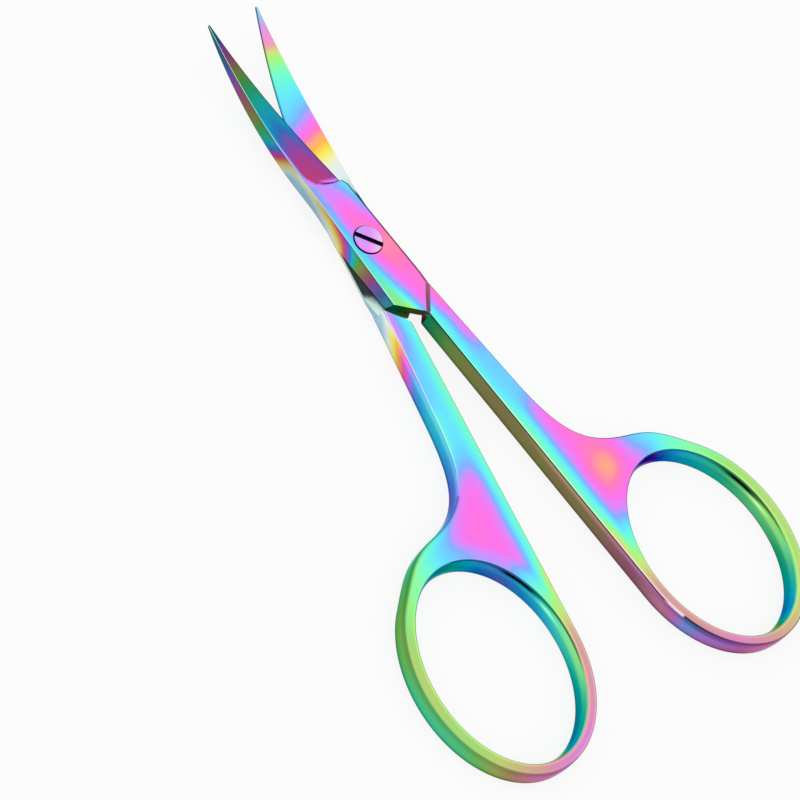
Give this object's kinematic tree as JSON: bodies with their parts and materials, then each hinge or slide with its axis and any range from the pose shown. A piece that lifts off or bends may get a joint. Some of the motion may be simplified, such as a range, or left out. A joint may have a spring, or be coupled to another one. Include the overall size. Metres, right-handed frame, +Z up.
{
  "type": "cuticle scissors",
  "caption": "Cuticle scissors with upward-curved blades, slim shanks and finger rings, whose forged halves cross in a lap joint and turn on a slotted pivot screw.",
  "frame": {"origin": "on the pivot axis, in the plane that the shanks, the finger rings and the screw's end rest on", "axes": "+X from the pivot to the blade tips, halfway between the halves; +Z up along the pivot axis, out of the screw's head; the front half's handle lies on the -Y side"},
  "size_m": [0.0903, 0.0528, 0.0049],
  "materials": {
    "front_steel": "mirror-polished stainless steel with a rainbow interference coating",
    "back_steel": "mirror-polished stainless steel with a rainbow interference coating",
    "screw_steel": "turned stainless steel with a rainbow interference coating"
  },
  "bodies": {
    "back": {"back_half": "back_steel", "pivot_screw": "screw_steel"},
    "front": {"front_half": "front_steel"}
  },
  "joints": [
    {"name": "blade_pivot", "type": "hinge", "parent": "back", "child": "front", "pos_m": [0, 0, 0], "axis": [0, 0, 1], "range_deg": [-13.3, 46.6]}
  ]
}
